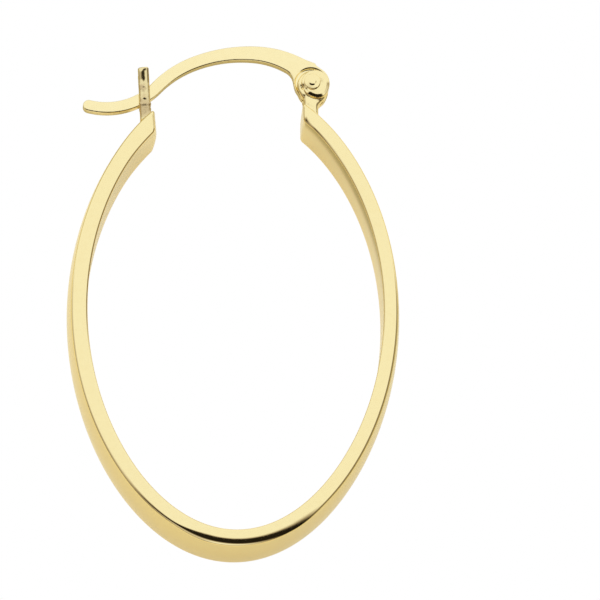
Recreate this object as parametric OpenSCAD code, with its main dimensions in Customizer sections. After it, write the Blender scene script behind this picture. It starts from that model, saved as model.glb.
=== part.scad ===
// Oval hoop earring with a hinged ear wire, lying on its side.
// X runs across the oval towards the hinge, Y along it towards the ear wire, Z across the band.
// The origin is below the middle of the whole earring, on the surface that it lies on.

/* [Band] */
// Width of the oval opening inside the band
opening_w = 17.79; // [16.8:0.01:18.6]
// Height of the oval opening inside the band, measured as if the oval were closed
opening_h = 27.41; // [27.2:0.01:27.8]
// How much wider the upper half of the oval is than the lower half, as a share
top_swell = 0.01; // [0:0.001:0.03]
// How pointed the oval's ends are, where 0 is a true ellipse
point = 0.006; // [0:0.001:0.015]
// Width of the band, from one flat side to the other
band_w = 4; // [3.4:0.1:4.4]
// Thickness of the band at the middle of its width, at the oval's foot
band_t = 1.09; // [1.05:0.01:1.3]
// How much thicker the band is at its left side than at its foot, and thinner at its right, as a share
catch_extra = 0.07; // [0:0.01:0.1]
// How far the outer face rises from its edges to its middle
crown = 0.18; // [0.1:0.01:0.3]
// Radius of the band's four long edges
edge_r = 0.25; // [0.1:0.01:0.3]
// Where the band is cut at the catch, left of the oval's middle
catch_end = 4.78; // [4.6:0.01:4.9]
// Where the band is cut at the hinge, right of the oval's middle
hinge_end = 4.13; // [4.1:0.01:4.25]

/* [Hinge] */
// Distance of the hinge axis from the oval's middle, to the right
axis_x = 4.73; // [4.7:0.01:4.8]
// Distance of the hinge axis from the oval's middle, upwards
axis_y = 14.98; // [14.95:0.01:15.05]
// Radius of the round end of each ear of the bracket
ear_r = 1.02; // [0.85:0.01:1.05]
// Thickness of each ear
ear_t = 0.5; // [0.35:0.01:0.55]
// Gap between the two ears
ear_gap = 0.66; // [0.6:0.01:0.75]
// Width of the bracket's stem
stem_w = 0.88; // [0.8:0.01:0.9]
// Depth of the gap below the hinge axis
gap_depth = 1.23; // [1.2:0.01:1.3]
// Radius of the rivet's shank
rivet_r = 0.28; // [0.22:0.01:0.32]
// Radius of the rivet's domed heads
head_r = 0.5; // [0.45:0.01:0.55]
// Height of the rivet's domed heads
head_h = 0.22; // [0.15:0.01:0.25]

/* [Ear wire] */
// Width of the ear wire at its arch, seen from the side of the earring
wire_w = 0.83; // [0.75:0.01:0.9]
// Width of the ear wire at its tail
tail_w = 0.72; // [0.6:0.01:0.8]
// Thickness of the ear wire, across the band
wire_t = 0.66; // [0.6:0.01:0.68]
// Thickness of the wire's knuckle between the ears
tongue_t = 0.46; // [0.4:0.01:0.5]
// Radius of the wire's round knuckle
knuckle_r = 1.12; // [1.05:0.01:1.15]
// How far the knuckle's middle lies above the hinge axis
knuckle_up = 0.2; // [0.15:0.01:0.26]
// How far the knuckle's middle lies left of the hinge axis
knuckle_left = 0.07; // [0:0.01:0.1]

/* [Catch] */
// Width of the catch fork, seen from the side of the earring
fork_w = 0.66; // [0.6:0.01:0.75]
// Distance of the slot's bottom from the oval's middle, to the left
fork_x = 5.4; // [5.35:0.01:5.45]
// Angle at which the whole fork leans to the left
fork_tilt = 1.5; // [0:0.5:3]
// Height of the fork's tips above the oval's middle
fork_top = 15.75; // [15.6:0.01:16.3]
// Height of the bottom of the fork's slot above the oval's middle
slot_bottom = 13.35; // [13.3:0.01:13.4]
// Width of the slot at its bottom
slot_w = 0.72; // [0.72:0.01:0.9]
// Thickness of each prong
prong_t = 0.45; // [0.35:0.01:0.5]
// Angle at which each prong leans outwards
prong_lean = 10; // [8:0.5:14]

/* [Hidden] */
gold = [0.93, 0.85, 0.56];
$fn = 96;

half_w = opening_w / 2;
half_h = opening_h / 2;
mid_z = band_w / 2;
crown_r = (pow(band_w / 2, 2) + pow(crown, 2)) / (2 * crown);
bracket_w = ear_gap + 2 * ear_t;

// How finely the band and the curves are stepped.
rings = 90;
rim_steps = 4;
crown_steps = 6;
arc_steps = 8;
halvings = 24;
slope_step = 0.05;
// The two stretches of the oval, in degrees, that its cut ends lie in.
hinge_side = [30, 80];
catch_side = [-210, -260];

// How deep the bracket and the fork are sunk into the band, and how far the bracket stands in
// from the band's cut end.
solder_depth = 0.5;
end_step = 0.04;
// The gap under each rivet head, and the play of the shank in the ears and in the knuckle.
seat_gap = 0.02;
ear_play = 0.015;
tongue_play = 0.04;
// The radius round the hinge axis within which the wire is thinned to go between the ears.
thin_r = 1.36;
// A length that reaches past everything it cuts.
far = 10;

// The ear wire's middle line: where its tail starts and heads, then its arcs, left turns first.
tail_start = [-8.74, 13.41];
tail_heading = -13.6;
RADIUS = 0;
TURN = 1;
wire_arcs = [
    [4.1, 60],
    [7.4, -28.5],
    [8.6, -27.5],
    [6.2, -27.5],
];
// The share of the wire's length at which it reaches its full width.
full_width_at = 0.6;
// The share of the wire's length over which its inner edge swells to meet the knuckle.
swell_from = 0.68;
swell_to = 0.85;
swell = 0.62;

function unit(angle) = [cos(angle), sin(angle)];
function arc(middle, r, from, to, steps) =
    [for (k = [0:steps]) middle + r * unit(from + (to - from) * k / steps)];

// The oval's inner edge: an ellipse with a little of its third harmonic, swollen at the top.
function oval(t) = [
    half_w * (cos(t) + point * cos(3 * t)) / (1 + point) * (1 + top_swell * sin(t)),
    half_h * (sin(t) - point * sin(3 * t)) / (1 + point)
];
function outward(t) =
    let (d = oval(t + slope_step) - oval(t - slope_step)) [d[1], -d[0]] / norm(d);
function oval_at(t, out) = oval(t) + out * (1 - catch_extra * cos(t)) * outward(t);

// Where the curve that lies out from the inner edge comes within x = end, found by halving.
function cut_at(end, out, side, n = halvings) =
    let (mid = (side[0] + side[1]) / 2)
    n == 0 ? mid
    : abs(oval_at(mid, out)[0]) > end ? cut_at(end, out, [mid, side[1]], n - 1)
    : cut_at(end, out, [side[0], mid], n - 1);

// The band's section, once round: flat inside and sides, crowned outside, four round edges.
// Each point is the distance out from the inner edge and the height.
rim_out = band_t - crown_r + sqrt(pow(crown_r - edge_r, 2) - pow(band_w / 2 - edge_r, 2));
crown_turn = asin((band_w / 2 - edge_r) / (crown_r - edge_r));
section = concat(
    arc([edge_r, edge_r], edge_r, 180, 270, rim_steps),
    arc([rim_out, edge_r], edge_r, -90, -crown_turn, rim_steps),
    [for (k = [1:crown_steps - 1])
        [band_t - crown_r, mid_z] + crown_r * unit((2 * k / crown_steps - 1) * crown_turn)],
    arc([rim_out, band_w - edge_r], edge_r, crown_turn, 90, rim_steps),
    arc([edge_r, band_w - edge_r], edge_r, 90, 180, rim_steps)
);

// The wire's middle line as rows of x, y and heading.
function left_of(heading) = [-sin(heading), cos(heading)];
function walk(p, heading, rows, i = 0) =
    i == len(rows) ? [[p[0], p[1], heading]]
    : let (r = rows[i][RADIUS] * sign(rows[i][TURN]),
           c = p + r * left_of(heading),
           to = heading + rows[i][TURN])
      concat(
          [for (k = [0:arc_steps - 1])
              let (h = heading + rows[i][TURN] * k / arc_steps, q = c - r * left_of(h))
              [q[0], q[1], h]],
          walk(c - r * left_of(to), to, rows, i + 1)
      );
wire_line = walk(tail_start, tail_heading, wire_arcs);
last = len(wire_line) - 1;
function ramp(share, from, to) = min(1, max(0, (share - from) / (to - from)));
function half_width(share) = (tail_w + (wire_w - tail_w) * ramp(share, 0, full_width_at)) / 2;
function inner_swell(share) = swell * pow(ramp(share, swell_from, swell_to), 2);
upper_edge = [for (i = [0:last])
    let (w = wire_line[i])
    [w[0], w[1]] + half_width(i / last) * left_of(w[2])];
lower_edge = [for (i = [last:-1:0])
    let (w = wire_line[i])
    [w[0], w[1]] - (half_width(i / last) + inner_swell(i / last)) * left_of(w[2])];
tail_end = [for (k = [1:arc_steps - 1])
    tail_start + tail_w / 2 * unit(tail_heading + 270 - 180 * k / arc_steps)];

// The whole earring is centred between its two sides, and between the oval's foot and the wire's top.
wire_top = max([for (p = upper_edge) p[1]]);
centre_x = -band_t * catch_extra;
centre_y = (wire_top - half_h - band_t) / 2;
module placed() {
    translate([-centre_x, -centre_y, 0]) children();
}

module band() {
    n = len(section);
    starts = [for (s = section) cut_at(hinge_end, s[0], hinge_side)];
    stops = [for (s = section) cut_at(catch_end, s[0], catch_side)];
    points = [for (i = [0:rings]) for (k = [0:n - 1])
        let (t = starts[k] + (stops[k] - starts[k]) * i / rings,
             p = oval_at(t, section[k][0]),
             x = i == 0 ? hinge_end : i == rings ? -catch_end : p[0])
        [x, p[1], section[k][1]]];
    walls = [for (i = [0:rings - 1]) for (k = [0:n - 1])
        let (next = (k + 1) % n)
        [i * n + k, (i + 1) * n + k, (i + 1) * n + next, i * n + next]];
    hinge_cap = [for (k = [0:n - 1]) k];
    catch_cap = [for (k = [n - 1:-1:0]) rings * n + k];
    polyhedron(points, concat(walls, [hinge_cap, catch_cap]));
}

// How high the band's outer face is at a distance x from the oval's middle.
function band_top(x) = oval_at(cut_at(x, band_t, hinge_side), band_t)[1];

// A post with two round ears, parted by a gap with a round bottom, soldered beside the cut end.
module hinge_bracket() {
    stem_x = hinge_end + end_step;
    foot_y = band_top(stem_x + stem_w) - solder_depth;
    gap_y = axis_y - gap_depth;
    difference() {
        union() {
            translate([axis_x, axis_y, mid_z - bracket_w / 2])
                cylinder(r = ear_r, h = bracket_w);
            translate([stem_x, foot_y, mid_z - bracket_w / 2])
                cube([stem_w, axis_y - foot_y, bracket_w]);
        }
        translate([axis_x - far / 2, gap_y + ear_gap / 2, mid_z - ear_gap / 2])
            cube([far, far, ear_gap]);
        translate([axis_x - far / 2, gap_y + ear_gap / 2, mid_z])
            rotate([0, 90, 0]) cylinder(r = ear_gap / 2, h = far);
        translate([axis_x, axis_y, -far / 2])
            cylinder(r = rivet_r + ear_play, h = 2 * far);
    }
}

// A post that parts into two flat prongs, which lean outwards from the slot.
module catch_fork() {
    foot_y = band_top(fork_x + fork_w / 2) - solder_depth;
    post_w = slot_w + 2 * prong_t;
    prong_l = (fork_top - slot_bottom) / cos(prong_lean);
    root = prong_t * sin(prong_lean);
    translate([-fork_x, slot_bottom, mid_z]) rotate([0, 0, fork_tilt]) {
        translate([-fork_w / 2, foot_y - slot_bottom, -post_w / 2])
            cube([fork_w, slot_bottom - foot_y, post_w]);
        for (side = [-1, 1])
            translate([0, 0, side * slot_w / 2])
                rotate([side * prong_lean, 0, 0])
                    translate([-fork_w / 2, -root, side > 0 ? 0 : -prong_t])
                        cube([fork_w, prong_l + root, prong_t]);
    }
}

module hoop() {
    color(gold) placed() {
        band();
        hinge_bracket();
        catch_fork();
    }
}

// An arched wire of flat section, with a thinner round knuckle that turns on the rivet.
module ear_wire() {
    color(gold) placed() difference() {
        translate([0, 0, mid_z - wire_t / 2]) {
            linear_extrude(wire_t) polygon(concat(upper_edge, lower_edge, tail_end));
            translate([axis_x - knuckle_left, axis_y + knuckle_up])
                cylinder(r = knuckle_r, h = wire_t);
        }
        for (side = [-1, 1])
            translate([axis_x, axis_y, mid_z + side * (tongue_t / 2 + far / 2)])
                cylinder(r = thin_r, h = far, center = true);
        translate([axis_x, axis_y, -far / 2])
            cylinder(r = rivet_r + tongue_play, h = 2 * far);
    }
}

// A rivet: a straight shank through the ears, with a low dome at either end.
module hinge_pin() {
    seat = bracket_w / 2 + seat_gap;
    dome_r = (pow(head_r, 2) + pow(head_h, 2)) / (2 * head_h);
    dome_turn = asin(head_r / dome_r);
    dome = arc([0, seat + head_h - dome_r], dome_r, 90, 90 - dome_turn, arc_steps);
    upper = concat(dome, [[rivet_r, seat]]);
    lower = [for (i = [len(upper) - 1:-1:0]) [upper[i][0], -upper[i][1]]];
    color(gold) placed() translate([axis_x, axis_y, mid_z])
        rotate_extrude() polygon(concat(upper, lower));
}

hoop();
ear_wire();
hinge_pin();
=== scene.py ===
"""A polished oval hoop earring with a hinged ear wire, lying on its side in a white light tent."""
import math

import bpy
import numpy as np
from mathutils import Matrix


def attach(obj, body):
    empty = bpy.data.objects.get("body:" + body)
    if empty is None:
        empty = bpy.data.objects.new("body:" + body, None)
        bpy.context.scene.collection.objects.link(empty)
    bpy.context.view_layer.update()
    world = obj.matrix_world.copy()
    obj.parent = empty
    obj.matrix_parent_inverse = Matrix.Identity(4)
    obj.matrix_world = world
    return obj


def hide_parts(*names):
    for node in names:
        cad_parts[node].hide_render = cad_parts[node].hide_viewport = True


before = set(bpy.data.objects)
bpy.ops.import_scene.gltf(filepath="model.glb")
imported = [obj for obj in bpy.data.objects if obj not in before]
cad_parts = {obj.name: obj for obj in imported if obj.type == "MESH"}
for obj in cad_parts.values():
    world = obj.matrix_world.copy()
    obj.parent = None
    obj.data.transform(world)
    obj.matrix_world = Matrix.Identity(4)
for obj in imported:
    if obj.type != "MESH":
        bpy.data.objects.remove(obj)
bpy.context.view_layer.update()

# All sizes are in millimetres round the oval's middle. FRAME_ORIGIN is where the part's frame has
# its origin there, and place() takes a point to that frame's metres. The band's middle is at MID_Z.
MM = 0.001
FRAME_ORIGIN = np.array([-0.0763, 1.2709, 0.0])
MID_Z = 2.0

# The oval opening and the band round it, which is thicker on the left and swells by the catch
HALF_W, HALF_H = 17.79 / 2, 27.41 / 2
TOP_SWELL, POINT = 0.01, 0.006
BAND_W, BAND_T, CROWN = 4.0, 1.09, 0.18
CATCH_EXTRA, CATCH_SWELL, SWELL_DEGREES = 0.07, 0.05, (-222, -236)

# The band's long edges: each one's reach across the face and its depth down the wall. The near
# ones change along the band: worn at the foot (in degrees), and broader inside by the hinge.
INNER_EDGE, OUTER_EDGE = (0.15, 0.12), (0.42, 0.42)
CRISP_EDGE, CRISP_CROWN = (0.2, 0.22), 0.18
WORN_EDGE, WORN_CROWN = (0.47, 0.25), 0.08
WORN_AT, WORN_HALF, CRISP_FROM = -84, 15, 29
HINGE_EDGE, HINGE_FADE = (0.34, 0.17), 4.5

# The band's two cut ends, each looked for between two angles. The catch's cut is curved: how far
# it lies beyond the end at its far edge, middle and near edge; and it leans back outwards.
HINGE_END, HINGE_SIDE, HINGE_ROUND = 4.08, (30, 80), 0.12
CATCH_END, CATCH_SIDE, CATCH_ROUND = -4.78, (-210, -260), 0.14
CATCH_CUT, CATCH_LEAN = (-0.02, 0.1, -0.075), 0.13

# How finely the band is divided
BAND_STATIONS, TOP_STATIONS, HALVINGS, SMALL_TURN = 620, 200, 40, 0.001
WALL_STEPS, OUTER_STEPS, INNER_STEPS, END_STEPS = 14, 16, 12, 13
FLAT_SHARES = np.array([0.02, 0.06, 0.2, 0.4, 0.6, 0.8, 0.94, 0.98])
CAP_SHARES = (0.05, 0.35, 0.65, 0.88, 0.97)

# The solder feet of the bracket and the fork: each one's radius and its field's scale, how far it
# stays clear of the band's cut end, and how deep it goes into the band
FOOT_SINK, FOOT_FILLET = 0.02, 0.3
BRACKET_FOOT, BRACKET_CLEAR, BRACKET_DEPTH = (1.15, 0.8), 0.1, 0.45
FORK_FOOT, FORK_CLEAR, FORK_DEPTH = (1.2, 0.85), 0.15, 0.35

# The hinge bracket. Each of its ears is a plate and a boss, and each of these two joined discs.
AXIS = np.array([4.73, 14.98])
PLATE, PLATE_R, HEEL, HEEL_R, HEEL_BLEND = (4.72, 14.80), 0.95, (4.80, 14.36), 0.72, 0.3
PLATE_HALF, PLATE_ROUND = 0.64, 0.22
BOSS, BOSS_R, TIP, TIP_R, TIP_BLEND = (4.86, 14.86), 0.83, (5.02, 14.48), 0.5, 0.25
BOSS_HALF, BOSS_ROUND, BOSS_BLEND = 0.86, 0.05, 0.06
BEVEL_W, BEVEL_SLOPE, BEVEL_SCALE = 0.18, 0.36, 0.94
STEM_X, STEM_BLEND = (4.17, 5.05), 0.25
SLOT_HALF, SLOT_BOTTOM, SLOT_EDGE = 0.33, 13.75, 0.08

# The rivet
HEAD_R, HEAD_H, HEAD_RIM, HEAD_SAG, HEAD_OFF = 0.49, 0.17, 0.05, 0.012, (-0.06, -0.06)
BUTTON_FROM, BUTTON_TO, BUTTON_H = 0.16, 0.27, 0.03
SEAT, SEAT_LAP, SEAT_BLEND, SHANK_R = 0.85, 0.02, 0.1, 0.28
PROFILE_START, HEAD_STEPS, RIM_START, RIM_STEPS, ROUND_STEPS = 0.01, 90, 0.2, 10, 96

# The ear wire, from its tail: bends one after the other, each a radius and a turn in degrees.
# Widths change over shares of its length. It ends in a round knuckle with a dish on either side.
TAIL_START, TAIL_HEADING = np.array([-8.78, 13.41]), -13.9
BENDS = ((4.18, 61.3), (6.4, -24.0), (9.07, -25.2), (6.05, -31.6))
WIRE_W, TAIL_W, WIRE_T, WIRE_EDGE = 0.8, 0.7, 0.54, 0.06
FULL_WIDTH_AT, SHOULDER_FROM, SHOULDER_TO, SHOULDER, AT_END = 0.7, 0.5, 0.94, 0.43, 0.9999
KNUCKLE, KNUCKLE_R, KNUCKLE_FILLET = (4.67, 15.04), 1.08, 0.62
POCKET, POCKET_R, POCKET_SLOPE, POCKET_SCALE = (4.6, 14.98), 0.91, 0.5, 0.9
POCKET_EDGE, THIN_HALF = 0.02, 0.21

# The catch fork: a post that parts into two prongs, which lean apart
FORK_X, FORK_TILT, FORK_W, FORK_SHEAR = -5.375, 2.9, 0.66, 0.05
FORK_TOP, FORK_SLOT, FORK_SLOT_W, FORK_BLEND = 15.7, 13.35, 0.72, 0.15
POST_RISE, PRONG_SCALE = 0.1, 0.95
PRONG_T, PRONG_LEAN, LEAN_FROM, LEAN_SOFT = 0.45, 10, 1.0, 0.3
PRONG_ROUND, PRONG_CROWN, RIDGE_SHIFT, RIDGE_FROM = 0.12, 0.7, 0.14, 0.3

# Hand-finished unevenness, and pits: each one's x, its y and how many times the usual size
RIPPLE, BRACKET_RIPPLE, FORK_RIPPLE = 0.9, 0.006, 0.004
PIT_W, PIT_DEPTH = 0.085, 0.035
EAR_PITS = ((4.14, 14.62, 1.9), (4.32, 14.44, 1.5), (4.15, 14.0, 1.3))
FORK_PITS = ((-5.43, 13.62, 1.15), (-5.5, 14.41, 0.6))

# The grids that surfaces are found on: steps, reaches in x (of the wire, corners in x and y), tops
# and reaches from the band's middle; and how the points slide on to the surface
CAST_GRID, WIRE_GRID, GRID_SPARE = 0.03, 0.035, 0.15
BRACKET_GRID, FORK_GRID = ((3.5, 5.95), 16.15, 1.4), ((-6.7, -4.6), 15.95, 1.5)
WIRE_LOW, WIRE_HIGH, WIRE_REACH = (-9.4, 12.6), (6.1, 17.5), 0.42
NUDGE, SLIDES, LEAST_STEEPNESS = 0.2, 4, 0.1

# The photograph's view: a long lens, from the oval's foot side and well above it
FOCAL_PX, PX_PER_MM, IMAGE, SENSOR = 20000, 16.65, 600, 36
TILT, TILT_Y, ROLL = -17.8402, 2.9625, -0.0497
SHIFT_X, SHIFT_Y = -3.952, 1.2471


def place(points):
    """Millimetres round the oval's middle become metres in the part's frame."""
    return (np.asarray(points) - FRAME_ORIGIN) * MM


def turned(first, second, degrees):
    """A turn of one axis of space towards another."""
    m = np.eye(3)
    c, s = math.cos(math.radians(degrees)), math.sin(math.radians(degrees))
    m[first, first] = m[second, second] = c
    m[first, second], m[second, first] = -s, s
    return m


VIEW = turned(0, 1, ROLL) @ turned(1, 2, TILT) @ turned(0, 2, TILT_Y) @ np.diag([1, -1, -1])


def make_camera():
    """A camera far off, so that the object shows almost without perspective."""
    distance = FOCAL_PX / PX_PER_MM
    eye = np.array([0, 0, MID_Z]) - VIEW.T @ np.array([SHIFT_X, SHIFT_Y, distance])
    lens = bpy.data.cameras.new("view")
    lens.sensor_width = SENSOR
    lens.lens = SENSOR * FOCAL_PX / IMAGE
    camera = bpy.data.objects.new("view", lens)
    bpy.context.collection.objects.link(camera)
    matrix = np.eye(4)
    matrix[:3, 0], matrix[:3, 1], matrix[:3, 2] = VIEW[0], -VIEW[1], -VIEW[2]
    matrix[:3, 3] = place(eye)
    camera.matrix_world = Matrix(matrix.tolist())
    bpy.context.scene.camera = camera


make_camera()


def unit(angle):
    """The direction at an angle in the plane of the oval."""
    return np.stack([np.cos(angle), np.sin(angle)], -1)


def ramp(value, start, end):
    """Rises straight from 0 to 1 as the value goes from start to end."""
    return np.clip((value - start) / (end - start), 0, 1)


def smooth(value, start, end):
    """Rises from 0 to 1 with a soft start and end: three squares less two cubes."""
    share = ramp(value, start, end)
    return share * share * (3 - 2 * share)


def tube(points):
    """A tube from rows of points, closed at either end by a fan round the end row's mean."""
    rows, columns = points.shape[:2]
    caps = np.stack([points[0].mean(0), points[-1].mean(0)])
    i, j = np.meshgrid(np.arange(rows - 1), np.arange(columns), indexing="ij")
    here, beside = i * columns + j, i * columns + (j + 1) % columns
    quads = np.stack([here, here + columns, beside + columns, beside], -1).reshape(-1, 4)
    first, last, middle = here[0], here[0] + (rows - 1) * columns, np.full(columns, rows * columns)
    first_fan = np.stack([middle, first, np.roll(first, -1)], -1)
    last_fan = np.stack([middle + 1, np.roll(last, -1), last], -1)
    return np.concatenate([points.reshape(-1, 3), caps]), [quads, first_fan, last_fan]


def volume(points, faces):
    """Six times the signed volume: each face with the origin makes a fan of pyramids."""
    total = 0
    for group in faces:
        for k in range(1, group.shape[1] - 1):
            a, b, c = points[group[:, 0]], points[group[:, k]], points[group[:, k + 1]]
            total += np.einsum("ij,ij->", a, np.cross(b, c))
    return total


def make_piece(name, shell, body, nodes, material):
    """One object from a closed shell in millimetres, turned so that its faces point outwards."""
    points, faces = shell
    if volume(points, faces) < 0:
        faces = [group[:, ::-1] for group in faces]
    mesh = bpy.data.meshes.new(name)
    corners = np.concatenate([group.ravel() for group in faces])
    sizes = np.concatenate([np.full(len(group), group.shape[1]) for group in faces])
    mesh.vertices.add(len(points))
    mesh.vertices.foreach_set("co", place(points).astype(np.float32).ravel())
    mesh.loops.add(len(corners))
    mesh.loops.foreach_set("vertex_index", corners.astype(np.int32))
    mesh.polygons.add(len(sizes))
    mesh.polygons.foreach_set("loop_start", (np.cumsum(sizes) - sizes).astype(np.int32))
    mesh.update(calc_edges=True)
    mesh.validate()
    mesh.shade_smooth()
    mesh.materials.append(material)
    piece = bpy.data.objects.new(name, mesh)
    bpy.context.collection.objects.link(piece)
    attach(piece, body)
    if nodes:
        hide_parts(*nodes)


class Signal:
    """A socket of a finish; sums on it add Math nodes."""

    def __init__(self, finish, socket):
        self.finish, self.socket = finish, socket

    def math(self, operation, *others):
        values = dict(enumerate((self,) + others))
        return self.finish.node("ShaderNodeMath", {"operation": operation}, values)

    def __add__(self, other):
        return self.math("ADD", other)

    __radd__ = __add__

    def __mul__(self, other):
        return self.math("MULTIPLY", other)

    __rmul__ = __mul__

    def __sub__(self, other):
        return self.math("SUBTRACT", other)

    def __rsub__(self, other):
        return self.finish.node("ShaderNodeMath", {"operation": "SUBTRACT"}, {0: other, 1: self})

    def ramp(self, start, end, low=0.0, high=1.0):
        """Rises smoothly from low to high as the signal goes from start to end."""
        settings = {"interpolation_type": "SMOOTHSTEP"}
        inputs = {"Value": self, "From Min": start, "From Max": end, "To Min": low, "To Max": high}
        return self.finish.node("ShaderNodeMapRange", settings, inputs)

    def vector(self, operation, other, output="Vector"):
        """Vector Math with another vector."""
        settings = {"operation": operation}
        return self.finish.node("ShaderNodeVectorMath", settings, {0: self, 1: other}, output)

    def axes(self):
        """Its x, y and z."""
        split = self.finish.node("ShaderNodeSeparateXYZ", None, {0: self})
        return [Signal(self.finish, socket) for socket in split.socket.node.outputs]


class Finish:
    """The node tree of a new material or world."""

    def __init__(self, owner):
        owner.use_nodes = True
        self.tree = owner.node_tree
        self.tree.nodes.clear()

    def node(self, kind, settings=None, inputs=None, output=0):
        """Adds a node of any kind: its settings first, then its sockets' values or links."""
        made = self.tree.nodes.new(kind)
        for name, value in (settings or {}).items():
            setattr(made, name, value)
        for name, value in (inputs or {}).items():
            if isinstance(value, Signal):
                self.tree.links.new(value.socket, made.inputs[name])
            else:
                made.inputs[name].default_value = value
        return Signal(self, made.outputs[output]) if made.outputs else made

    def mix(self, factor, first, second):
        """A mix of two colours, for which the node keeps its sockets 6, 7 and 2."""
        settings = {"data_type": "RGBA", "blend_type": "MIX"}
        return self.node("ShaderNodeMix", settings, {0: factor, 6: first, 7: second}, 2)

    def object_mm(self):
        """The place on the object, in millimetres."""
        metres = self.node("ShaderNodeTexCoord", output="Object")
        inputs = {"Vector": metres, "Scale": 1 / MM}
        return self.node("ShaderNodeVectorMath", {"operation": "SCALE"}, inputs)

    def noise(self, vector, scale, detail):
        """A cloudy pattern of values round a half."""
        inputs = {"Vector": vector, "Scale": scale, "Detail": detail}
        return self.node("ShaderNodeTexNoise", None, inputs)


# The finish of the metal. A noise is its scale per millimetre and its detail, most of its values
# lie in NOISE_SPAN, and the depths of its relief are in metres.
GOLD, PALE_GOLD = (0.915, 0.755, 0.37, 1), (0.935, 0.78, 0.4, 1)
DEEP_GOLD, CAST_GOLD = (0.88, 0.69, 0.31, 1), (0.8, 0.66, 0.33, 1)
NOISE_SPAN = (0.35, 0.75)
LINES, LINE_ROUGHNESS, LINE_DEPTH = (14.0, 4.0), 0.05, 0.00000005
SWELLS, SWELL_DEPTH = (0.55, 1.0), 0.0000015
MOTTLE, MOTTLE_SHARE = (3.2, 3.0), 0.2
CAST_SKIN, SKIN_DEPTH = (2.6, 2.0), 0.000006

# The solder on the fork: its two spots, each a place and a size, how far it spreads, in shares of
# the size, with how ragged an edge, and what it does to the gold
SOLDER, SOLDER_SHARE, SOLDER_ROUGHNESS, SOLDER_DEPTH = (0.62, 0.46, 0.23, 1), 0.8, 0.2, 0.00003
SOLDER_SPREAD, SOLDER_FADE, BLOTCH, BLOTCH_PULL = 1.3, (1.7, 0.9), (3.0, 3.0), 1.2
FORK_SOLDER = ((FORK_X - 0.1, 13.2, 2.8, 1.1), (-5.66, 14.45, 2.85, 0.45))


def gold(name, tone=GOLD, roughness=0.07, grain=(1, 1, 1), cast=False, solder=()):
    """Polished yellow gold: buffing lines, faint swells, a little mottle and, where cast, a
    livelier skin; round each spot of solder its colour comes in and the skin grows rough."""
    material = bpy.data.materials.new(name)
    finish = Finish(material)
    mm = finish.object_mm()
    stretched = finish.node("ShaderNodeMapping", None, {"Vector": mm, "Scale": grain})
    lines = finish.noise(stretched, *LINES)
    mottle = finish.noise(mm, *MOTTLE).ramp(*NOISE_SPAN, 0.0, MOTTLE_SHARE)
    color = finish.mix(mottle, tone, DEEP_GOLD)
    rough = roughness + lines.ramp(*NOISE_SPAN, 0.0, LINE_ROUGHNESS)
    height = lines * LINE_DEPTH + finish.noise(mm, *SWELLS) * SWELL_DEPTH
    if cast:
        height = height + finish.noise(mm, *CAST_SKIN) * SKIN_DEPTH
    for *spot, size in solder:
        away = mm.vector("DISTANCE", tuple(spot - FRAME_ORIGIN), "Value")
        blotch = finish.noise(mm, *BLOTCH)
        near = (away * (SOLDER_SPREAD / size) + blotch * BLOTCH_PULL).ramp(*SOLDER_FADE)
        color = finish.mix(near * SOLDER_SHARE, color, SOLDER)
        rough = rough + near * SOLDER_ROUGHNESS
        height = height + near * blotch * SOLDER_DEPTH
    relief = {"Height": height, "Distance": 1.0, "Strength": 1.0}
    bump = finish.node("ShaderNodeBump", None, relief)
    shader = finish.node("ShaderNodeBsdfPrincipled", None, {
        "Base Color": color, "Metallic": 1.0, "Roughness": rough, "Normal": bump})
    finish.node("ShaderNodeOutputMaterial", None, {"Surface": shader})
    return material


def oval(t):
    """The inner edge: an ellipse with a little of its third harmonic, swollen at the top."""
    x = HALF_W * (np.cos(t) + POINT * np.cos(3 * t)) / (1 + POINT) * (1 + TOP_SWELL * np.sin(t))
    y = HALF_H * (np.sin(t) - POINT * np.sin(3 * t)) / (1 + POINT)
    return np.stack([x, y], -1)


def crown_radius(crown):
    """The radius of an arc over the band's width that rises by the crown."""
    return ((BAND_W / 2) ** 2 + crown ** 2) / (2 * crown)


def fibre(t, out):
    """A line along the band, out from the inner edge; thicker on the left, and by the catch."""
    slope = oval(t + SMALL_TURN) - oval(t - SMALL_TURN)
    slope /= np.linalg.norm(slope, axis=-1, keepdims=True)
    normal = np.stack([slope[..., 1], -slope[..., 0]], -1)
    swell = CATCH_SWELL * smooth(np.degrees(t), *SWELL_DEGREES)
    reach = out * (1 - CATCH_EXTRA * np.cos(t)) + swell * (2 * out / BAND_T - 1)
    return oval(t) + reach[..., None] * normal


def angle_at(x, out, side):
    """The angle at which a fibre reaches x, found by halving."""
    low = np.full(np.broadcast(x, out).shape, math.radians(side[0]))
    high = np.full(low.shape, math.radians(side[1]))
    for _ in range(HALVINGS):
        mid = (low + high) / 2
        beyond = abs(fibre(mid, out)[..., 0]) > abs(x)
        low, high = np.where(beyond, mid, low), np.where(beyond, high, mid)
    return low


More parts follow.
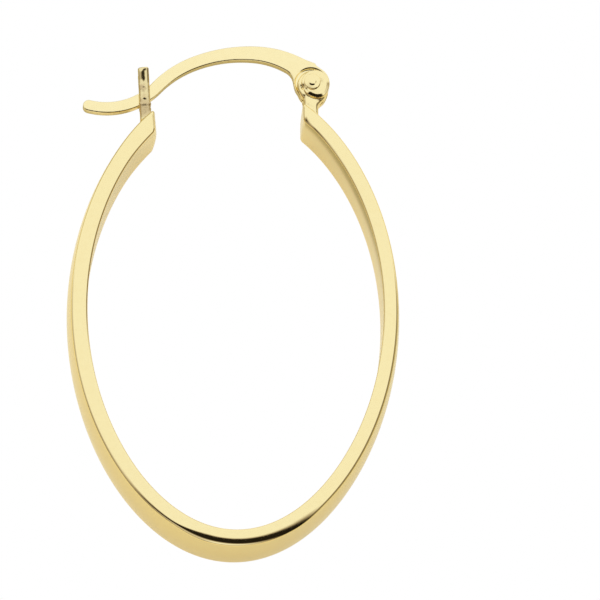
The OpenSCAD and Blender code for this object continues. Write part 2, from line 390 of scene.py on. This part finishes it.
def band_section(near_edge, near_crown, inner_edge=INNER_EDGE):
    """The section once round: four round edges, flat inside and sides, crowned outside.

    Rows of distance out, height, and the outward direction at each point. Each edge is a quarter
    of an ellipse with its own reach across the face and depth down the wall.
    """
    flat = FLAT_SHARES[:, None]

    def corner(center, edge, first, last, steps):
        """Part of an ellipse between two angles; the outward direction is the way across it."""
        spread = unit(np.radians(np.linspace(first, last, steps)))
        normal = spread / np.array(edge)
        normal /= np.linalg.norm(normal, axis=1, keepdims=True)
        return np.hstack([np.array(center) + spread * edge, normal])

    def straight(start, end):
        """Rows between two rows, at the flat shares of the way."""
        return (1 - flat) * start + flat * end

    def outer_half(edge, crown):
        """From the outer wall's middle to the face at z = BAND_W: crowned wall, then its edge."""
        radius = crown_radius(crown)
        turn = math.asin((BAND_W / 2 - edge[1]) / (radius - edge[1]))
        height = BAND_W - edge[1] + edge[1] * math.sin(turn)
        join_out = BAND_T - radius + math.sqrt(radius ** 2 - (height - MID_Z) ** 2)
        wall_turn = math.asin((height - MID_Z) / radius)
        wall = unit(np.linspace(0, wall_turn, WALL_STEPS)[:-1])
        wall = np.hstack([np.array([BAND_T - radius, MID_Z]) + radius * wall, wall])
        center = (join_out - edge[0] * math.cos(turn), BAND_W - edge[1])
        return np.vstack([wall, corner(center, edge, math.degrees(turn), 90, OUTER_STEPS)])

    def inner_corner(edge):
        """The round edge between the face at z = BAND_W and the inner wall."""
        return corner((edge[0], BAND_W - edge[1]), edge, 90, 180, INNER_STEPS)

    def mirrored(rows):
        """The rows on the far side: BAND_W less their height, in the other order."""
        return (rows * [1, -1, 1, -1] + [0, BAND_W, 0, 0])[::-1]

    far_inner = mirrored(inner_corner(INNER_EDGE))
    far_outer = mirrored(outer_half(OUTER_EDGE, CROWN))
    near_inner, near_outer = inner_corner(inner_edge), outer_half(near_edge, near_crown)
    return np.vstack([
        far_inner, straight(far_inner[-1], far_outer[0]), far_outer, near_outer[1:],
        straight(near_outer[-1], near_inner[0]), near_inner, straight(near_inner[-1], far_inner[0]),
    ])


def catch_cut(out, z):
    """The cut at the catch: a parabola over the band's width, leaning back with the way out."""
    far, middle, near = CATCH_CUT
    share = z / MID_Z - 1
    swell = middle + (near - far) / 2 * share + ((near + far) / 2 - middle) * share * share
    return CATCH_END + swell - CATCH_LEAN * out / BAND_T


def end_rows(radius):
    """From a cut end's middle outwards: shrink of the section, inset of its outline, way in."""
    rows = [(share, radius, 0.0) for share in CAP_SHARES]
    for turn in np.radians(np.linspace(90, 0, END_STEPS)):
        rows.append((1.0, radius * (1 - math.cos(turn)), radius * (1 - math.sin(turn))))
    return rows


def band():
    """The section carried along the oval, each fibre cut where it meets the two end planes.

    The near outer edge is crisp but for the foot, where it is worn to a broad round; the near
    inner edge is broader by the hinge.
    """
    section, worn = band_section(CRISP_EDGE, CRISP_CROWN), band_section(WORN_EDGE, WORN_CROWN)
    by_hinge = band_section(CRISP_EDGE, CRISP_CROWN, HINGE_EDGE)
    middle = np.array([BAND_T / 2, MID_Z])

    def row(share, inset, section=section):
        """The section drawn in by the inset, then shrunk towards its middle to the share."""
        spot = section[:, :2] - inset * section[:, 2:]
        spot = middle + share * (spot - middle)
        return spot[:, 0], spot[:, 1]

    hinge, catch = [], []
    for share, inset, way in end_rows(HINGE_ROUND):
        out, z = row(share, inset, by_hinge)
        hinge.append((angle_at(HINGE_END + way, out, HINGE_SIDE), out, z))
    for share, inset, way in end_rows(CATCH_ROUND):
        out, z = row(share, inset)
        catch.append((angle_at(catch_cut(out, z) - way, out, CATCH_SIDE), out, z))
    out, z = row(1.0, 0.0)
    share = np.linspace(0, 1, BAND_STATIONS)[1:-1, None]
    body = (1 - share) * hinge[-1][0] + share * catch[-1][0]
    wear = smooth(abs(np.degrees(body) - WORN_AT), CRISP_FROM, WORN_HALF)
    near = smooth(np.degrees(hinge[-1][0] - body), HINGE_FADE, 0)
    outs = out + wear * (worn[:, 0] - out) + near * (by_hinge[:, 0] - out)
    zs = z + wear * (worn[:, 1] - z) + near * (by_hinge[:, 1] - z)
    t, outs, zs = (np.vstack([h[k] for h in hinge] + [along] + [c[k] for c in catch[::-1]])
                   for k, along in enumerate((body, outs, zs)))
    return tube(np.dstack([fibre(t, outs), zs]))


def band_top(x, z):
    """How high the band's crowned outer face lies, at x and at a height across the band."""
    radius = crown_radius(CROWN)
    sag = radius - np.sqrt(radius ** 2 - (z - MID_Z) ** 2)
    side = HINGE_SIDE if np.mean(x) > 0 else CATCH_SIDE
    stations = np.radians(np.linspace(side[0], side[1], TOP_STATIONS))
    line = fibre(stations, np.full(TOP_STATIONS, BAND_T))
    order = np.argsort(line[:, 0])
    return np.interp(x, line[order, 0], line[order, 1]) - sag


def join(a, b, blend):
    """Two distance fields in one, with a fillet where they meet."""
    share = np.clip(0.5 + 0.5 * (b - a) / blend, 0, 1)
    return b + (a - b) * share - blend * share * (1 - share)


def carve(a, b, blend):
    """The first field without the second, with a softened edge."""
    return -join(-a, b, blend)


def soft_block(across, along, radius):
    """The distance to a round-edged form from its distances in two directions."""
    a, b = across + radius, along + radius
    return np.minimum(np.maximum(a, b), 0) + np.hypot(np.maximum(a, 0), np.maximum(b, 0)) - radius


def ripple(p, depth):
    """A hand-finished unevenness: three slow waves that cross at odd angles."""
    x, y, z = (p[..., k] * 2 * math.pi / RIPPLE for k in range(3))
    first, second = np.sin(x + 0.7 * y + 0.4), np.sin(1.3 * y - 0.8 * z + 1.9)
    return depth / 3 * (first + second + np.sin(0.9 * z - 1.1 * x + 2.7))


def pits(x, y, spots):
    """Small round hollows left by the caster's tools: a bell curve round each spot."""
    total = 0
    for spot_x, spot_y, size in spots:
        away = (x - spot_x) ** 2 + (y - spot_y) ** 2
        total = total + size * PIT_DEPTH * np.exp(-away / (size * PIT_W) ** 2)
    return total


def skin(field, low, high, step):
    """The surface where a distance field is zero.

    Each cell of a fine grid that the surface crosses gets a point at the mean of the crossings on
    its edges, the four cells round each crossed grid edge share a face, and every point then
    slides down the field's slope on to the surface.
    """
    axes = [np.arange(a, b + step, step) for a, b in zip(low, high)]
    nodes = np.stack(np.meshgrid(*axes, indexing="ij"), -1)
    value = field(nodes)
    shape = np.array(value.shape)
    total, count = np.zeros((*(shape - 1), 3)), np.zeros(shape - 1)
    crossed_edges = []
    for axis in range(3):
        ahead = np.roll(value, -1, axis)
        crossed = (value < 0) != (ahead < 0)
        crossed[tuple(slice(-1, None) if k == axis else slice(None) for k in range(3))] = False
        index = np.argwhere(crossed)
        start, end = value[tuple(index.T)], ahead[tuple(index.T)]
        spot = nodes[tuple(index.T)]
        spot[:, axis] += step * start / (start - end)
        one, two = [k for k in range(3) if k != axis]
        around = []
        for a, b in ((0, 0), (1, 0), (1, 1), (0, 1)):
            cell = index.copy()
            cell[:, one] -= a
            cell[:, two] -= b
            around.append(cell)
        for cell in around:
            np.add.at(total, tuple(cell.T), spot)
            np.add.at(count, tuple(cell.T), 1)
        forward = (start < 0) != (axis == 1)
        crossed_edges.append((np.stack(around, 1), forward))
    used = count > 0
    number = np.full(used.shape, -1)
    number[used] = np.arange(used.sum())
    points = total[used] / count[used][:, None]
    quads = []
    for around, forward in crossed_edges:
        quad = number[tuple(np.moveaxis(around, -1, 0))]
        quads.append(np.where(forward[:, None], quad, quad[:, ::-1]))
    nudge = NUDGE * step
    for _ in range(SLIDES):
        here = field(points)
        slope = np.stack([field(points + nudge * way) - field(points - nudge * way)
                          for way in np.eye(3)], -1) / (2 * nudge)
        steepness = (slope ** 2).sum(-1, keepdims=True)
        slide = here[:, None] * slope / np.maximum(steepness, LEAST_STEEPNESS)
        points = points - np.clip(slide, -step, step)
    return points, [np.concatenate(quads)]


def foot_field(p, off_x, middle_x, past_end, radius, scale):
    """A solder foot: the ground just below the band's outer face, within a ball round the foot's
    middle, and not past the plane that keeps it clear of the band's cut end."""
    ground = (p[..., 1] - band_top(p[..., 0], p[..., 2]) + FOOT_SINK) * scale
    off_y, off_z = p[..., 1] - band_top(middle_x, MID_Z), p[..., 2] - MID_Z
    reach = np.sqrt(off_x ** 2 + off_y ** 2 + off_z ** 2) - radius
    return np.maximum(np.maximum(ground, reach), past_end)


def soldered(field, foot, depth, sides, top, reach):
    """The skin of a soldered piece, cut off flat at a depth below its foot, inside the band."""
    bottom = foot - depth
    return skin(lambda p: np.maximum(field(p), bottom - p[..., 1]),
                (sides[0], bottom - GRID_SPARE, MID_Z - reach),
                (sides[1], top, MID_Z + reach), CAST_GRID)


def bracket_field(p):
    """A stem that widens into two round ears, parted by a round-bottomed slot, on a solder foot.

    Each ear is a plate, a disc joined with a smaller one for its heel, and carries a bevelled boss.
    """
    x, y, z = p[..., 0], p[..., 1], p[..., 2] - MID_Z

    def disc(middle, radius):
        """The distance to a disc: that to its middle, less the radius."""
        return np.hypot(x - middle[0], y - middle[1]) - radius

    stem_middle, stem_half = (STEM_X[0] + STEM_X[1]) / 2, (STEM_X[1] - STEM_X[0]) / 2
    stem = np.maximum(abs(x - stem_middle) - stem_half, y - AXIS[1])
    plate = join(disc(PLATE, PLATE_R), disc(HEEL, HEEL_R), HEEL_BLEND)
    plate = soft_block(join(plate, stem, STEM_BLEND), abs(z) - PLATE_HALF, PLATE_ROUND)
    boss = join(disc(BOSS, BOSS_R), disc(TIP, TIP_R), TIP_BLEND)
    bevel = (abs(z) - BOSS_HALF + BEVEL_SLOPE * (boss + BEVEL_W)) * BEVEL_SCALE
    boss = np.maximum(soft_block(boss, abs(z) - BOSS_HALF, BOSS_ROUND), bevel)
    body = join(plate, boss, BOSS_BLEND) + pits(x, y, EAR_PITS)
    slot_middle = SLOT_BOTTOM + SLOT_HALF
    slot = np.hypot(z, np.minimum(y - slot_middle, 0)) - SLOT_HALF
    body = carve(body, slot, SLOT_EDGE) + ripple(p, BRACKET_RIPPLE)
    past_end = HINGE_END + BRACKET_CLEAR - x
    foot = foot_field(p, x - stem_middle, stem_middle, past_end, *BRACKET_FOOT)
    return join(body, foot, FOOT_FILLET)


def hinge_bracket():
    """The skin of the bracket, whose foot is measured at the stem's outer side."""
    return soldered(bracket_field, band_top(STEM_X[1], MID_Z), BRACKET_DEPTH, *BRACKET_GRID)


def fork_field(p):
    """A post that parts into two crowned prongs, whose ends lean apart, on a solder foot.

    A prong leans by its own slope from LEAN_FROM below the top, with a soft start; its section is
    a round-edged block that thins towards the sides by the square of the way from the ridge.
    """
    c, s = math.cos(math.radians(FORK_TILT)), math.sin(math.radians(FORK_TILT))
    x0 = p[..., 0] - FORK_X + FORK_SHEAR * (p[..., 2] - MID_Z)
    y0 = p[..., 1] - FORK_SLOT
    x, y, z = c * x0 + s * y0, -s * x0 + c * y0, abs(p[..., 2] - MID_Z)
    side, length = abs(x) - FORK_W / 2, FORK_TOP - FORK_SLOT
    ridge = x - RIDGE_SHIFT * smooth(y, length - RIDGE_FROM, length)
    crown = ridge * ridge / (2 * PRONG_CROWN)
    thick = z - FORK_SLOT_W / 2 - PRONG_T + crown
    post = soft_block(np.maximum(side, y - POST_RISE), thick, PRONG_ROUND)
    rise = np.maximum(y - (length - LEAN_FROM), 0)
    bent = np.minimum(rise, LEAN_SOFT)
    lean = math.tan(math.radians(PRONG_LEAN)) * (bent * bent / (2 * LEAN_SOFT) + rise - bent)
    out = z - FORK_SLOT_W / 2 - PRONG_T / 2 - lean
    section = soft_block(side, abs(out + crown / 2) - PRONG_T / 2 + crown / 2, PRONG_ROUND)
    prong = soft_block(section, abs(y - length / 2) - length / 2, PRONG_ROUND) * PRONG_SCALE
    body = join(post, prong, FORK_BLEND) + ripple(p, FORK_RIPPLE)
    body = body + pits(p[..., 0], p[..., 1], FORK_PITS)
    past_end = p[..., 0] - CATCH_END + FORK_CLEAR
    return join(body, foot_field(p, x0, FORK_X, past_end, *FORK_FOOT), FOOT_FILLET)


def catch_fork():
    """The skin of the fork, whose foot is measured a fork's width to its left."""
    return soldered(fork_field, band_top(FORK_X - FORK_W, MID_Z), FORK_DEPTH, *FORK_GRID)


def wire_outline(x, y):
    """The distance to the wire's outline: that to the nearest of its arcs, less its half width.

    The way along an arc is the angle swung round its centre; the tail ends in a half circle, and
    the end at the hinge is cut square inside the knuckle.
    """
    start, heading = TAIL_START, math.radians(TAIL_HEADING)
    nearest, outline = np.full(x.shape, np.inf), np.full(x.shape, np.inf)
    for k, (radius, turn) in enumerate(BENDS):
        side, turn = math.copysign(1, turn), math.radians(turn)
        center = start + side * radius * unit(np.array(heading + math.pi / 2))
        first = heading - side * math.pi / 2
        swung = np.arctan2(y - center[1], x - center[0]) - first
        swung = (swung + math.pi) % (2 * math.pi) - math.pi
        swung = side * np.clip(side * swung, 0, abs(turn))
        foot = center + radius * unit(first + swung)
        left = unit(heading + swung + math.pi / 2)
        off_x, off_y = x - foot[..., 0], y - foot[..., 1]
        away, above = np.hypot(off_x, off_y), off_x * left[..., 0] + off_y * left[..., 1]
        share = (k + swung / turn) / len(BENDS)
        half = (TAIL_W + (WIRE_W - TAIL_W) * ramp(share, 0, FULL_WIDTH_AT)) / 2
        shoulder = SHOULDER * ramp(share, SHOULDER_FROM, SHOULDER_TO) ** 2
        half = half + np.where(above < 0, shoulder, 0)
        beyond = off_x * left[..., 1] - off_y * left[..., 0]
        square = np.maximum(abs(above) - half, beyond)
        gap = np.where(share > AT_END, square, away - half)
        outline = np.where(away < nearest, gap, outline)
        nearest = np.minimum(away, nearest)
        start = center + radius * unit(np.array(first + turn))
        heading += turn
    return outline


def wire_field(p):
    """The flat arched wire joined with its round knuckle, with a fillet; a shallow dish with a
    slanting rim thins the knuckle on either side where it goes between the ears."""
    x, y, z = p[..., 0], p[..., 1], abs(p[..., 2] - MID_Z)
    knuckle = np.hypot(x - KNUCKLE[0], y - KNUCKLE[1]) - KNUCKLE_R
    outline = join(wire_outline(x, y), knuckle, KNUCKLE_FILLET)
    body = soft_block(outline, z - WIRE_T / 2, WIRE_EDGE)
    pocket = np.hypot(x - POCKET[0], y - POCKET[1]) - POCKET_R
    dish = (pocket * POCKET_SLOPE - z + THIN_HALF) * POCKET_SCALE
    return carve(body, np.maximum(dish, THIN_HALF - z), POCKET_EDGE)


def hinge_rivet():
    """A profile turned round the hinge axis: shank, rim, flat head and button, twice."""
    r = np.linspace(PROFILE_START, HEAD_R - HEAD_RIM, HEAD_STEPS)
    top = SEAT + HEAD_H - HEAD_SAG * (r / HEAD_R) ** 2
    top = top - BUTTON_H * smooth(r, BUTTON_FROM, BUTTON_TO)
    turn = np.linspace(RIM_START, math.pi, RIM_STEPS)
    rim_r = HEAD_R - HEAD_RIM + HEAD_RIM * np.sin(turn)
    rim_z = top[-1] - HEAD_RIM + HEAD_RIM * np.cos(turn)
    profile_r = np.concatenate([r, rim_r, [SHANK_R + SEAT_LAP, SHANK_R]])
    profile_z = np.concatenate([top, rim_z, [top[-1] - 2 * HEAD_RIM, SEAT - SEAT_LAP]])
    profile_r = np.concatenate([profile_r, profile_r[::-1]])
    profile_z = np.concatenate([profile_z, -profile_z[::-1]])
    turn = np.linspace(0, 2 * math.pi, ROUND_STEPS, endpoint=False)
    off = np.array(HEAD_OFF) * ramp(abs(profile_z), SEAT - SEAT_BLEND, SEAT)[:, None]
    ring = AXIS + off[:, None] + profile_r[:, None, None] * unit(turn)[None]
    height = np.broadcast_to(MID_Z + profile_z[:, None, None], ring.shape[:2] + (1,))
    return tube(np.concatenate([ring, height], -1))


def ear_wire():
    """The skin of the ear wire."""
    low, high = (*WIRE_LOW, MID_Z - WIRE_REACH), (*WIRE_HIGH, MID_Z + WIRE_REACH)
    return skin(wire_field, low, high, WIRE_GRID)


make_piece("oval_band", band(), "hoop", ["hoop"],
           gold("band_gold", grain=(0.3, 0.3, 4)))
make_piece("hinge_bracket", hinge_bracket(), "hoop", [],
           gold("bracket_gold", roughness=0.08, cast=True))
make_piece("catch_fork", catch_fork(), "hoop", [],
           gold("fork_gold", tone=CAST_GOLD, roughness=0.12, cast=True, solder=FORK_SOLDER))
make_piece("ear_wire_bow", ear_wire(), "ear_wire", ["ear_wire"],
           gold("wire_gold", tone=PALE_GOLD, grain=(0.6, 0.6, 3)))
make_piece("hinge_rivet", hinge_rivet(), "hoop", ["hinge_pin"], gold("rivet_gold", roughness=0.08))


# The floor and the shade painted on it, which only the metal's reflections show: a dimmer, warmer
# copy of the floor, and patches of darker painted shade, each coming in from the first value of x
# or y to the second. The one within the oval fills an ellipse of SHADE_AXES, and is strongest along
# its edge.
FLOOR_REACH, FLOOR_BELOW = 0.5, -0.00001
FLOOR_WHITE, PAINTED_DIM_FLOOR, FLOOR_GLOW = (1, 1, 1, 1), (0.77, 0.715, 0.53, 1), 0.55
PAINTED_FLOOR_SHADE, PAINTED_SHADE_UNDER_WIRE = (0.44, 0.39, 0.22, 1), 0.85
SHADE_AXES, RIGHT_HALF = (8.64, 12.58, 1.0), (0.5, 3.0)
SHADE_RIM, SHADE_MIDDLE = (1.004, 0.984), (0.98, 0.9, 1.0, 0.6)
TAIL_X, TAIL_Y = (-5.6, -6.1), (12.0, 12.6)
ARCH_MIDDLE, ARCH_ASIDE, ARCH_Y = -0.4, (4.3, 3.8), (13.6, 14.2)
BESIDE_X, BESIDE_Y = (11.0, 16.0), (9.0, 2.0)


def make_floor():
    """A plain pale sheet, which shows as plain white. Its own light on the metal is softer: the
    metal sees a dimmer, warmer copy, with shade painted into its colour and glow, darker still
    under the ear wire, within the oval's right half, and beside the band on the lower right."""
    corners = [(x * FLOOR_REACH, y * FLOOR_REACH, FLOOR_BELOW)
               for x, y in ((-1, -1), (1, -1), (1, 1), (-1, 1))]
    mesh = bpy.data.meshes.new("floor")
    mesh.from_pydata(corners, [], [(0, 1, 2, 3)])
    floor = bpy.data.objects.new("floor", mesh)
    bpy.context.collection.objects.link(floor)
    material = bpy.data.materials.new("floor_white_painted_shade")
    finish = Finish(material)
    spot = finish.object_mm().vector("ADD", tuple(FRAME_ORIGIN))
    x, y, _ = spot.axes()
    out = finish.node("ShaderNodeVectorMath", {"operation": "LENGTH"},
                      {0: spot.vector("DIVIDE", SHADE_AXES)}, "Value")
    # Patches of painted shade: darker floor colour and glow under the ear wire, within the oval's
    # right half and beside the band, seen only in the metal's reflections.
    within = x.ramp(*RIGHT_HALF) * out.ramp(*SHADE_RIM) * out.ramp(*SHADE_MIDDLE)
    painted_shade_under_tail = x.ramp(*TAIL_X) * y.ramp(*TAIL_Y)
    painted_shade_under_arch = (x - ARCH_MIDDLE).math("ABSOLUTE").ramp(*ARCH_ASIDE) * y.ramp(*ARCH_Y)
    beside = x.ramp(*BESIDE_X) * y.ramp(*BESIDE_Y)
    painted_shade = within + (painted_shade_under_arch + painted_shade_under_tail) * PAINTED_SHADE_UNDER_WIRE + beside
    color = finish.mix(painted_shade, PAINTED_DIM_FLOOR, PAINTED_FLOOR_SHADE)
    # The metal sees the floor's painted shade as its colour and its glow; the camera sees plain
    # white.
    pale = finish.node("ShaderNodeBsdfPrincipled", None, {
        "Base Color": color, "Roughness": 1.0, "Specular IOR Level": 0.0,
        "Emission Color": color, "Emission Strength": FLOOR_GLOW})
    white = finish.node("ShaderNodeEmission", None, {"Color": FLOOR_WHITE, "Strength": 1.0})
    seen = finish.node("ShaderNodeLightPath", output="Is Camera Ray")
    shown = finish.node("ShaderNodeMixShader", None, {0: seen, 1: pale, 2: white})
    finish.node("ShaderNodeOutputMaterial", None, {"Surface": shown})
    mesh.materials.append(material)


# The tent, by the x, y and z of the way to it. Its dark opening is a wedge with its point to the
# back, wider on the left by OPENING_LEFT, whose front runs aslant and stops above the table.
TENT_LIGHT, TENT_SHADE, TENT_LEVEL = (1.0, 1.06, 1.18, 1), (1.0, 0.8, 0.6, 1), 1.03
OPENING_X, OPENING_LEFT, OPENING_POINT, OPENING_SOFT = 0.01, 0.76, 0.22, (-0.1, 0.1)
FRONT_SLANT, FRONT_Y, OVER_TABLE, OPENING_DIM = 0.4, (-0.88, -0.5), (0.0, 0.06), 0.985
SLOPE_X, SLOPE_Y, SLOPE_DIM = (-0.15, -0.35), (0.15, -0.1), 0.3
LOW_Z, LOW_Y, LOW_DIM = (0.45, 0.15), (0.4, 0.1), 0.45
RIGHT_X, RIGHT_DIM, LEFT_X, LEFT_DIM, SIDES_Y = (0.55, 0.75), 0.7, (-0.55, -0.75), 0.3, (0.44, 0.3)


def make_tent():
    """A white light tent with a dark tapered opening below the middle of its roof, which widens
    towards the front and ends at the bright front of the table. The roof's left slope, the low
    wall all round but for the back, and the two sides, above all the right one, are dimmer, and
    what light comes from the dim parts is warmer."""
    world = bpy.data.worlds.new("tent")
    bpy.context.scene.world = world
    finish = Finish(world)
    x, y, z = finish.node("ShaderNodeTexCoord", output="Generated").axes()
    aside = (x - OPENING_X).math("MAXIMUM", (OPENING_X - x) * OPENING_LEFT)
    wedge = (OPENING_POINT - y - aside).ramp(*OPENING_SOFT)
    opening = wedge * (y + x * FRONT_SLANT).ramp(*FRONT_Y) * z.ramp(*OVER_TABLE)
    slope = x.ramp(*SLOPE_X) * y.ramp(*SLOPE_Y)
    low = z.ramp(*LOW_Z) * y.ramp(*LOW_Y)
    sides = (x.ramp(*RIGHT_X) * RIGHT_DIM + x.ramp(*LEFT_X) * LEFT_DIM) * y.ramp(*SIDES_Y)
    level = (1 - opening * OPENING_DIM) * (1 - slope * SLOPE_DIM)
    level = level * (1 - low * LOW_DIM) * (1 - sides) * TENT_LEVEL
    color = finish.mix(level, TENT_SHADE, TENT_LIGHT)
    light = finish.node("ShaderNodeBackground", None, {"Color": color, "Strength": level})
    finish.node("ShaderNodeOutputWorld", None, {"Surface": light})


make_floor()
make_tent()
bpy.context.scene.view_settings.view_transform = "Standard"
